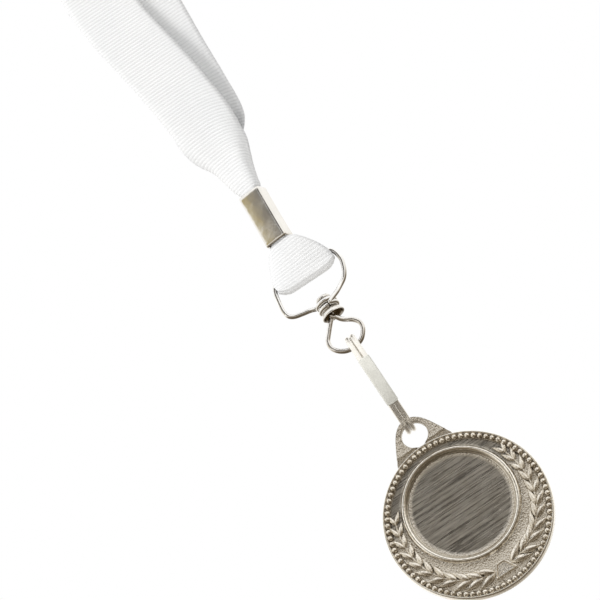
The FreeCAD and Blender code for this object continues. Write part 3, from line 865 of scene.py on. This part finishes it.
def ring_sleeve():
    outline = rounded(box_corners(1.51, 0.85), 0.42)
    half = SLEEVE_ARC / 2
    end = [(-half, 0.9), (-half + 0.5, 0.98), (-half + 1.2, 1.0)]
    middle = [(turn, 1.0) for turn in np.linspace(-half + 3, half - 3, 24)]
    steps = end + middle + [(-turn, scale) for turn, scale in end[::-1]]
    rows = []
    for turn, scale in steps:
        bend = math.radians(SLEEVE_TURN + turn)
        out = RING_REACH + outline[:, 1] * scale
        rows.append(np.stack([outline[:, 0] * scale, -out * math.cos(bend),
                              RING_MIDDLE + out * math.sin(bend)], 1))
    return grid_piece("sleeve", rows, (rows[0].mean(0), rows[-1].mean(0)), sharp=50)


fit(ring_wire(), "ring_link", "ring", RING_METAL, "split_ring")
fit(ring_sleeve(), "ring_link", "sleeve", SLEEVE_METAL, "ring_sleeve")

# %% [markdown]
# The eye is a loop of wire bent like a pear. Its stem goes up through the neck of the swivel's cup
# and ends in a small domed button, which keeps it from pulling out.

# %% The eye and its button
EYE_WIRE = 0.6
BUTTON_LOW, BUTTON_HIGH = span("swivel_button")
# the wire's middle line as (x, height above the swivel's middle), from inside the stem and round
PEAR = [(-0.7, -2.6), (0.1, -3.5), (1.1, -4.8), (3.0, -6.1), (4.1, -7.6), (4.15, -9.0), (3.5, -10.3),
        (2.2, -11.6), (0.2, -12.25), (-2.0, -12.1), (-3.8, -11.0), (-4.85, -9.3), (-4.7, -7.5), (-3.6, -6.0),
        (-1.8, -3.9), (-0.7, -2.7), (-0.1, -1.8), (0.0, -0.6), (0.0, BUTTON_LOW[2] - SWIVEL + 0.3)]


def eye():
    path = upright(through(PEAR, 150) + (0, SWIVEL), 0.0)
    path[:, 1] -= 0.75 * np.clip(1.6 - np.arange(150) / 14, 0, 1)
    return wire_piece("eye_wire", path, EYE_WIRE)


def button():
    low, high, wide = BUTTON_LOW[2], BUTTON_HIGH[2], BUTTON_HIGH[0]
    tall = high - low
    dome = [(wide * math.cos(a), low + 0.3 * tall + 0.7 * tall * math.sin(a)) for a in np.linspace(0, 1.5, 9)]
    rows = lathe([(wide * 0.9, low), (wide, low + 0.12 * tall)] + dome)
    return grid_piece("button", rows, ((0, 0, low), (0, 0, high)), sharp=50)


fit(eye(), "eye_link", "swivel", SWIVEL_METAL, "swivel_eye")
fit(button(), "eye_link", "swivel", SWIVEL_METAL, "swivel_button")

# %% [markdown]
# The cup of the swivel is turned: a narrow neck, a collar and a bell mouth that opens downwards.
# It is hollow, so the eye's stem can turn in it.

# %% The cup
CUP_LOW, CUP_HIGH = span("swivel_cup")
CUP_TOP, CUP_MOUTH = CUP_HIGH[2], CUP_LOW[2]
CUP_OUTSIDE = [(1.33, CUP_TOP), (1.7, CUP_TOP), (2.0, CUP_TOP - 0.12), (2.1, CUP_TOP - 0.35),
               (2.0, CUP_TOP - 0.6), (1.72, CUP_TOP - 0.8), (1.71, SWIVEL + 0.3), (1.71, SWIVEL - 0.4),
               (1.8, SWIVEL - 0.7), (2.2, SWIVEL - 1.1), (2.6, SWIVEL - 1.6), (2.86, SWIVEL - 2.2),
               (2.96, CUP_MOUTH + 0.25), (2.9, CUP_MOUTH + 0.05), (2.78, CUP_MOUTH), (2.65, CUP_MOUTH + 0.05)]
CUP_INSIDE = [(2.5, SWIVEL - 2.2), (2.2, SWIVEL - 1.7), (1.75, SWIVEL - 1.25), (1.4, SWIVEL - 0.95),
              (1.33, SWIVEL - 0.6)]


def cup():
    rows = lathe(CUP_OUTSIDE + CUP_INSIDE)
    # the inside of the cup is darkened with painted shade
    inside = [0.0] * len(CUP_OUTSIDE) + [1.0] * len(CUP_INSIDE)
    deep = np.repeat(inside, len(rows[0]))
    return grid_piece("cup", rows, round_rows=True, sharp=50, layers={"deep": deep})


fit(cup(), "strap_link", "swivel", SWIVEL_METAL, "swivel_cup")

# %% [markdown]
# The strap loop is one wire. Its bar carries the ribbon, its sides bow out a little and draw in
# below, and both ends are wrapped round the cup's neck, one above the other.

# %% The strap loop
LOOP_WIRE = 0.6
BAR_END = 7.0
WRAP_REACH = 2.33
WRAP_TURN = 0.93
WRAP_DROP = 0.3
LOW_WRAP, HIGH_WRAP = SWIVEL - 0.28, SWIVEL + 1.02


def loop_leg(keys, depth):
    """One side of the loop; below, it comes forward or goes back to pass the cup."""
    leg = upright(through([(x, BAR - drop) for x, drop in keys], 60), 0.0)
    leg[:, 1] = depth * np.clip((BAR - 8.0 - leg[:, 2]) / 2.4, 0, 1) ** 2
    return leg


def wrapped(leg, start, height):
    """The leg, a short join and most of a turn round the cup's neck."""
    turns = np.linspace(0, 2 * math.pi * WRAP_TURN, 60)
    round_neck = WRAP_REACH * np.stack([np.cos(start + turns), np.sin(start + turns)], 1)
    wrap = level(round_neck, 0.0)
    wrap[:, 2] = height - WRAP_DROP * turns / 6.28
    gap = np.linspace(0, 1, 14)[1:-1, None]
    reach = np.linalg.norm(wrap[0] - leg[-1])
    leaving, arriving = (v / np.linalg.norm(v) * reach for v in (leg[-1] - leg[-2], wrap[1] - wrap[0]))
    return np.vstack([leg, hermite(gap, leg[-1], leaving, wrap[0], arriving), wrap])


def strap_loop():
    right = loop_leg([(BAR_END, 0), (8.0, 0.3), (8.7, 1.5), (8.95, 3.4), (8.75, 4.7), (8.0, 6.7), (6.9, 8.2),
                      (5.3, 9.4), (3.9, 10.4)], -0.9)
    left = loop_leg([(-BAR_END, 0), (-8.0, 0.35), (-8.75, 1.8), (-9.2, 4.2), (-9.5, 6.6), (-9.2, 8.4),
                     (-8.1, 9.3), (-6.3, 9.75), (-4.3, 10.1)], 0.9)
    bar = upright(np.stack([np.linspace(-BAR_END, BAR_END, 24), np.full(24, BAR)], 1), 0.0)
    first = wrapped(right, -math.pi * 0.33, LOW_WRAP)
    second = wrapped(left, math.pi * 0.67, HIGH_WRAP)
    return wire_piece("loop_wire", np.vstack([second[::-1], bar[1:-1], first]), LOOP_WIRE)


fit(strap_loop(), "strap_link", "wire", WIRE_METAL, "strap_loop")

# %% [markdown]
# The crimp is a strip of sheet folded round the gathered ribbon. Its edges are rounded, its mouths
# are open and roll outwards a little, and it is pressed slightly hollow in front.

# %% The crimp
CRIMP_LOW, CRIMP_HIGH = span("ribbon_crimp")
CRIMP_TURN = math.radians(-22)
CRIMP_HALF = (3.15, 2.2)
CRIMP_WALL = 0.5
CRIMP_BELLY = 0.06
CRIMP_LEAN = 0.85
CRIMP_SKEW = 0.11


def crimp_lean(z):
    """Sideways shift of the crimp's middle: it hangs a little to the left at the bottom."""
    return -CRIMP_LEAN * (CRIMP_HIGH[2] - z) / (CRIMP_HIGH[2] - CRIMP_LOW[2])


def crimp_loop(half_x, half_y, corner, z):
    flat = rounded(box_corners(half_x, half_y), corner, 9)
    dense = []
    for i, point in enumerate(flat):
        after = flat[(i + 1) % len(flat)]
        steps = 8 if np.linalg.norm(after - point) > 1.2 else 1
        dense += [point + (after - point) * k / steps for k in range(steps)]
    flat = np.array(dense)
    flat[:, 1] *= 1 + CRIMP_BELLY * np.clip(1 - (flat[:, 0] / half_x) ** 2, 0, 1)
    turn_x, turn_y = math.cos(CRIMP_TURN), math.sin(CRIMP_TURN)
    return np.stack([flat[:, 0] * turn_x - flat[:, 1] * turn_y + crimp_lean(z),
                     flat[:, 0] * turn_y + flat[:, 1] * turn_x, z + 0.25 - CRIMP_SKEW * flat[:, 0]], 1)


def crimp():
    low, high = CRIMP_LOW[2], CRIMP_HIGH[2]
    wide, deep = CRIMP_HALF
    heights = np.concatenate([low + np.array((0.12, 0.5, 1.1)), np.linspace(low + 2, high - 2, 16),
                              high - np.array((1.1, 0.5, 0.12))])
    rows = []
    for z in heights:
        press = math.sin(math.pi * (z - low) / (high - low))
        lip = 0.1 if z in (heights[0], heights[-1]) else 0.0
        rows.append(crimp_loop(wide - 0.06 * press - lip, deep - 0.08 * press - lip, 0.75, z))
    inner = [crimp_loop(wide - CRIMP_WALL, deep - CRIMP_WALL - 0.1, 0.5, z) for z in heights[::-1]]
    rims = [crimp_loop(wide - 0.25, deep - 0.25, 0.7, high), crimp_loop(wide - 0.25, deep - 0.25, 0.7, low)]
    return grid_piece("crimp", rows + [rims[0]] + inner + [rims[1]], round_rows=True, sharp=45)


fit(crimp(), "ribbon", "crimp", CRIMP_METAL, "ribbon_crimp")

# %% [markdown]
# The ribbon is a single strip of white grosgrain, with its ribs as real relief. Its middle line
# starts in the crimp, goes up as the front strand, winds inwards round the hank, turns back on
# itself, winds out again, comes down as the back strand, passes through the crimp and round the
# bar, and ends in the crimp. Across its width the strip is flat in the hank. Towards the crimp its
# sides curl back. The front strand wraps round the back one, so that the two nest without touching.

# %% The ribbon's middle line
HANK_LOW, HANK_HIGH = span("neck_ribbon_hank")
RIBBON_WIDTH = HANK_HIGH[0] - HANK_LOW[0]
HANK_REACH = HANK_HIGH[1]
HANK_TOP = HANK_HIGH[2] - HANK_REACH
HANK_BOTTOM = HANK_LOW[2] + HANK_REACH
CRIMP_TOP, CRIMP_BOTTOM = CRIMP_HIGH[2], CRIMP_LOW[2]
CRIMP_MIDDLE = (CRIMP_TOP + CRIMP_BOTTOM) / 2
PLY_PITCH = 0.57
OUTER_PLY = HANK_REACH - 0.31
HANK_RUNS = 6
LAST_RUN = 40.0
BIGHT_REACH = 1.15
BIGHT_MIDDLE = BAR - 2.8
FLAT = (0.0, 1.0, 3.0, 9.0)   # no curl, full width, and where a curl would start and end

# Keys of the two strands: height, sideways shift, depth in the crimp's own frame, turn in degrees,
# curl in degrees, share of the width left by the gathers, and start and end of the curl across.
FRONT = [(HANK_BOTTOM, -1.2, -OUTER_PLY), (-56, -3.4, -5.55), (-64, -4.8, -5.15), (-77, -4.5, -4.5),
         (-90, -2.7, -3.85), (-101, -1.3, -3.3, 0, 4), (-110, -0.5, -2.85, -2, 14),
         (-115, -0.6, -2.5, -5, 30, 1, 3.0, 8.6), (-119, -0.35, -2.2, -9, 56, 0.98, 2.9, 8.2),
         (-122.5, -0.15, -1.95, -13, 80, 0.91, 2.7, 7.4), (-126.5, -0.2, -1.7, -17, 94, 0.84, 2.4, 6.6),
         (-130.5, -0.2, -1.5, -20, 99, 0.74, 2.2, 6.2), (-132.5, 0, -1.4, -22, 100, 0.64, 2.0, 6.2),
         (CRIMP_TOP, 0, -1.35, -22, 100, 0.51, 1.9, 6.2),
         (CRIMP_MIDDLE, crimp_lean(CRIMP_MIDDLE), -1.3, -22, 100, 0.49, 1.9, 6.2)]
BACK = [(HANK_BOTTOM, 1.2, -OUTER_PLY + PLY_PITCH), (-56, 3.2, -4.6), (-66, 4.5, -3.6), (-78.5, 4.3, -2.3),
        (-91, 3.4, -0.7, 0, 2), (-103, 2.7, 0.9, 0, 10), (-110, 2.1, 2.1, -3, 28, 1, 2.8, 8.8),
        (-114, 1.8, 2.7, -7, 52, 0.94, 2.6, 8.0), (-118, 1.3, 2.8, -12, 78, 0.8, 2.3, 7.0),
        (-122.5, 0.4, 2.3, -16, 94, 0.58, 2.0, 6.2), (-127, 0.1, 1.6, -19, 99, 0.44, 1.9, 6.2),
        (CRIMP_TOP, 0, 0.85, -22, 100, 0.34, 1.9, 6.2),
        (CRIMP_MIDDLE, crimp_lean(CRIMP_MIDDLE), 0.8, -22, 100, 0.33, 1.9, 6.2)]
# Keys of the fold's two legs: height, depth, curl, share of the width, and start and end of the curl.
LOWER = [(CRIMP_MIDDLE, 0.8, 100, 0.33, 1.9, 6.2), (CRIMP_MIDDLE - 3, 1.0, 50, 0.31, 2.6, 8.0),
         (CRIMP_BOTTOM + 1, 1.1, 22, 0.3), (CRIMP_BOTTOM, 1.15, 22, 0.32),
         (CRIMP_BOTTOM - 1.5, 1.2, 22, 0.54), (CRIMP_BOTTOM - 3.5, 1.2, 18, 0.7),
         (CRIMP_BOTTOM - 6, 1.15, 10, 0.87),
         (CRIMP_BOTTOM - 8.5, BIGHT_REACH, 3, 0.98), (BIGHT_MIDDLE, BIGHT_REACH)]
LAST = [(BIGHT_MIDDLE, -BIGHT_REACH), (CRIMP_BOTTOM - 8.5, -BIGHT_REACH, 3, 0.99),
        (CRIMP_BOTTOM - 6, -1.2, 12, 0.89), (CRIMP_BOTTOM - 3.5, -1.35, 20, 0.74),
        (CRIMP_BOTTOM - 1.5, -1.4, 24, 0.58), (CRIMP_BOTTOM - 0.6, -1.38, 24, 0.47),
        (CRIMP_BOTTOM + 0.2, -1.3, 22, 0.33), (CRIMP_MIDDLE - 0.4, -1.25, 20, 0.31)]


def along_keys(keys, usual, heights):
    """Values at these heights; a key that leaves out its last values has the usual ones there."""
    return smooth(sorted(key + usual[len(key):] for key in keys), heights)


def strand(keys, heights):
    """Rows of x, depth, height, turn, curl, gather, and start and end of the curl."""
    found = along_keys(keys, (0, 0, 0, 0) + FLAT, heights)
    return np.column_stack([found[:, :2], heights, found[:, 2:]])


def lower_leg(keys, heights):
    found = along_keys(keys, (0, 0) + FLAT, heights)
    turn = -22 * np.clip((heights - (BIGHT_MIDDLE + 1)) / (CRIMP_BOTTOM - BIGHT_MIDDLE - 1), 0, 1)
    shift = np.interp(heights, [BIGHT_MIDDLE, BAR, CRIMP_BOTTOM, CRIMP_MIDDLE],
                      [0.0, -0.2, crimp_lean(CRIMP_BOTTOM), crimp_lean(CRIMP_MIDDLE)])
    return np.column_stack([shift, found[:, 0], heights, turn, found[:, 1:]])


def flat_run(y, z):
    count = len(y)
    return np.column_stack([np.zeros(count), y, z, np.zeros(count), np.tile(FLAT, (count, 1))])


def winding(outer):
    """Half the hank: runs joined by half turns, each one ply pitch tighter than the one before."""
    reach, rows = outer, []
    for run in range(HANK_RUNS):
        front = run % 2 == 0
        start, end = (HANK_BOTTOM, HANK_TOP) if front else (HANK_TOP, HANK_BOTTOM)
        last = run == HANK_RUNS - 1
        heights = np.linspace(start, HANK_TOP - LAST_RUN if last else end, 60)[1:]
        rows.append(flat_run(np.full(59, -reach if front else reach), heights))
        if last:
            return np.vstack(rows)
        turns = np.linspace(0, math.pi, 40)[1:]
        shrink = reach - PLY_PITCH * turns / math.pi
        side = 1 if front else -1
        rows.append(flat_run(-side * shrink * np.cos(turns), end + side * shrink * np.sin(turns)))
        reach -= PLY_PITCH


def half_turn(middle, reach, height, count):
    """The strip going round below a height, from front of the middle to behind it."""
    turns = np.linspace(0, math.pi, count)[1:-1]
    return flat_run(middle + reach * np.cos(turns), height - reach * np.sin(turns))


def middle_line():
    """All the strip's rows, from its one end in the crimp to the other."""
    up, down = winding(OUTER_PLY), winding(OUTER_PLY - PLY_PITCH)[::-1]
    tip = up[-1]
    bight = half_turn(tip[1] - PLY_PITCH / 2, PLY_PITCH / 2, tip[2], 14)
    under = half_turn(0.0, BIGHT_REACH, BIGHT_MIDDLE, 30)
    first = strand(FRONT, np.linspace(CRIMP_MIDDLE, HANK_BOTTOM, 240))
    second = strand(BACK, np.linspace(HANK_BOTTOM, CRIMP_MIDDLE, 240))
    fade = 1 - eased(np.linspace(0, 1, 60))
    up[:60, 0] = first[-1, 0] * fade
    down[-60:, 0] = second[0, 0] * fade[::-1]
    lower = lower_leg(LOWER, np.linspace(CRIMP_MIDDLE, BIGHT_MIDDLE, 60))
    last = lower_leg(LAST, np.linspace(BIGHT_MIDDLE, CRIMP_MIDDLE - 0.4, 60))
    rows = np.vstack([first, up, bight, down, second[1:], lower[1:], under, last])
    step = np.linalg.norm(np.diff(rows[:, :3], axis=0), axis=1)
    return rows[np.concatenate([[True], step > 1e-4])]


LINE = middle_line()
ALONG = np.concatenate([[0], np.cumsum(np.linalg.norm(np.diff(LINE[:, :3], axis=0), axis=1))])
RIBBON_LENGTH = ALONG[-1]
print("ribbon: %.1f mm wide and %.0f mm long" % (RIBBON_WIDTH, RIBBON_LENGTH))

# %% [markdown]
# Each row across the strip is found by walking outwards from its middle and turning a little at
# every step, so the strip keeps its width however far it curls. The ribs are a wave along the
# length. They are fine in the strands and the fold, and each has only two rows in the hank, where
# the strip is flat and mostly covered.

# %% The ribbon's surface
RIB_PITCH = 0.845
RIB_HEIGHT = 0.12
HALF_THICK = 0.13
ACROSS = 7
FRONT_STRAND = 105.0   # the fine ribs run this far along the strip, and over the last part as well
BACK_STRAND = 133.0
FAN_TOP = -98.0
FAN_LOW = CRIMP_TOP - 1.0
FAN_DROP = 2.2
EDGE_RISE = 1.6
WAVE_STEP = 18.0


def rib_places():
    """Places along the strip: five rows to a rib in the strands and the fold, two in the hank."""
    hank_start, hank_end = FRONT_STRAND, RIBBON_LENGTH - BACK_STRAND
    parts = ((0, hank_start, 5), (hank_start, hank_end, 2), (hank_end, RIBBON_LENGTH, 5))
    return np.concatenate([np.arange(start, end, RIB_PITCH / rows) for start, end, rows in parts])


def half_row(curl, start, end):
    """Sideways reach, depth and slope at the columns from the middle of the strip to one edge."""
    fine = np.linspace(0, RIBBON_WIDTH / 2, 80)
    t = np.clip((fine - start) / (end - start), 0, 1)
    slope = math.radians(curl) * eased(t)
    between = (slope[1:] + slope[:-1]) / 2
    reach = np.concatenate([[0], np.cumsum(np.cos(between) * fine[1])])
    depth = np.concatenate([[0], np.cumsum(np.sin(between) * fine[1])])
    wanted = np.linspace(0, RIBBON_WIDTH / 2, ACROSS + 1)
    return [np.interp(wanted, fine, value) for value in (reach, depth, slope)]


def strip_frame(depth, x, z, turn, ahead):
    """Middle of a row, the way across it, and the way out of its face."""
    bend = math.radians(turn)
    across = np.array((math.cos(bend), math.sin(bend), 0))
    middle = np.array((x, 0, z)) + depth * np.array((-math.sin(bend), math.cos(bend), 0))
    along = np.array((0, ahead[1], ahead[2]))
    normal = np.cross(along, across)
    return middle, across, normal / np.linalg.norm(normal)


def ribbon():
    places = rib_places()
    rng = np.random.default_rng(21)

    def at(where):
        return np.column_stack([np.interp(where, ALONG, column) for column in LINE.T])

    ahead = (at(places + 0.4) - at(places - 0.4))[:, :3]
    noise_places = np.arange(-WAVE_STEP, RIBBON_LENGTH + 2 * WAVE_STEP, WAVE_STEP)
    wave = np.interp(places, noise_places, rng.normal(0, 0.05, len(noise_places)))
    edge = np.linspace(-1, 1, 2 * ACROSS + 1)
    crest = np.abs(np.cos(math.pi * places / RIB_PITCH))
    rows = []
    for place, (x, depth, z, turn, curl, gather, start, end), along, lift, rib in zip(
            places, at(places), ahead, wave, crest):
        middle, across, normal = strip_frame(depth, x, z, turn, along)
        reach, back, slope = half_row(curl, start, end)
        sideways = np.concatenate([-reach[:0:-1], reach]) * gather
        depths = np.concatenate([back[:0:-1], back]) * gather
        slopes = np.concatenate([-slope[:0:-1], slope])
        spine = middle + np.outer(sideways, across) + np.outer(depths, normal)
        face = np.outer(-np.sin(slopes), across) + np.outer(np.cos(slopes), normal)
        # round the bar the strip's edges ride up a little
        under = math.exp(-((z - BIGHT_MIDDLE + BIGHT_REACH) / 1.3) ** 2) if z < BIGHT_MIDDLE + 1 else 0.0
        spine[:, 2] += under * EDGE_RISE * np.clip((np.abs(edge) - 0.6) / 0.4, 0, 1) ** 2
        # above the crimp the ribs fan down towards one edge
        gathered = math.sin(math.pi * min(max((z - FAN_TOP) / (FAN_LOW - FAN_TOP), 0), 1))
        spine[:, 2] -= FAN_DROP * gathered * np.clip(edge, 0, 1) ** 2
        # the flat stretches of the strands wave a little
        calm = 1.0 if curl < 1 and z < HANK_BOTTOM else 0.0
        spine += np.outer(lift * calm * np.sin(edge * 3.0 + place * 0.05), normal)
        thick = np.full((len(edge), 1), HALF_THICK + RIB_HEIGHT * rib)
        thick[[0, -1]] *= 0.45
        rows.append(np.vstack([spine - face * thick, (spine + face * thick)[::-1]]))
    rows = np.array(rows)
    layer = np.concatenate([np.repeat(crest, rows.shape[1]), [1, 1]])
    return grid_piece("neck_ribbon", rows, (rows[0].mean(0), rows[-1].mean(0)), layers={"crest": layer})


# %% [markdown]
# The cloth's finish. The weave group gives fine warp threads that run over the ribs and a little
# unevenness, and both the ribbon and the tie use it. Bright, soft and slightly fuzzy at the edges,
# with painted shade that darkens the grooves between the ribs.

# %% Cloth
def make_weave():
    """Threads along and across; both counts are in turns of a wave per metre."""
    tree, given = new_group("weave", {"Threads": 3500.0, "Picks": 1200.0}, ["Height", "Tone"])
    place, across = spot(tree), axes(tree)
    warp = calculate(tree, "SINE", times(tree, across["X"], given["Threads"]))
    pick = calculate(tree, "SINE", times(tree, across["Z"], given["Picks"]))
    woven = times(tree, times(tree, warp, pick), 0.25)
    fuzz = noise(tree, Vector=place, Scale=2600.0, Detail=4.0)
    drift = noise(tree, Vector=place, Scale=90.0, Detail=3.0)
    add(tree, "NodeGroupOutput", Height=plus(tree, woven, fuzz), Tone=drift)
    return tree


WEAVE = make_weave()


def cloth(name, low, high, threads, picks, sheen, groove):
    """Soft white cloth, with painted shade that darkens the grooves between its ribs."""
    material, tree, shader = new_material(name)
    weave = effect(tree, WEAVE, Threads=threads, Picks=picks)
    tone = ramp(tree, weave["Tone"], (0.3, low), (0.7, high))
    # painted shade: the colour is darker in the grooves between the ribs
    groove_shade = spread(tree, painted(tree, "crest"), 1.0, 0.0, 0.1, 0.8)
    feed(tree, shader, Sheen_Weight=sheen, Sheen_Roughness=0.4, Specular_IOR_Level=0.25,
         Base_Color=mixed(tree, groove_shade, tone, (groove, groove, groove, 1.0), blend="MULTIPLY"),
         Roughness=spread(tree, weave["Height"], 0.62, 0.85, 0.2, 0.9),
         Normal=bump(tree, weave["Height"], 0.00004))
    return material


RIBBON_CLOTH = cloth("white_grosgrain", (0.86, 0.865, 0.87), (0.9, 0.9, 0.9), 9000.0, 7400.0, 0.25, 0.86)
TIE_CLOTH = cloth("tie_tape", (0.84, 0.84, 0.83), (0.89, 0.885, 0.87), 5200.0, 5200.0, 0.2, 0.97)
neck_ribbon = fit(ribbon(), "ribbon", "ribbon", RIBBON_CLOTH, "neck_ribbon_hank", "neck_ribbon_front_strand",
                  "neck_ribbon_back_strand", "neck_ribbon_fold")

# %% [markdown]
# The tie is a band of tape round the hank, finely ridged and drawn in at its edges.

# %% The tie
TIE_LOW, TIE_HIGH = span("hank_tie")


def tie():
    wide, deep = TIE_HIGH[0], TIE_HIGH[1]
    heights = np.linspace(TIE_LOW[2], TIE_HIGH[2], 19)

    def band(inset, z):
        return level(rounded(box_corners(wide - inset, deep - inset), 2.4 - inset, 12), z)

    insets = 0.04 + 0.05 * (np.arange(19) % 2)
    insets[[0, -1]] += 0.12
    rows = [band(inset, z) for inset, z in zip(insets, heights)] + [band(0.5, z) for z in heights[::-1]]
    return grid_piece("tie_band", rows, round_rows=True, sharp=60)


fit(tie(), "ribbon", "tie", TIE_CLOTH, "hank_tie")
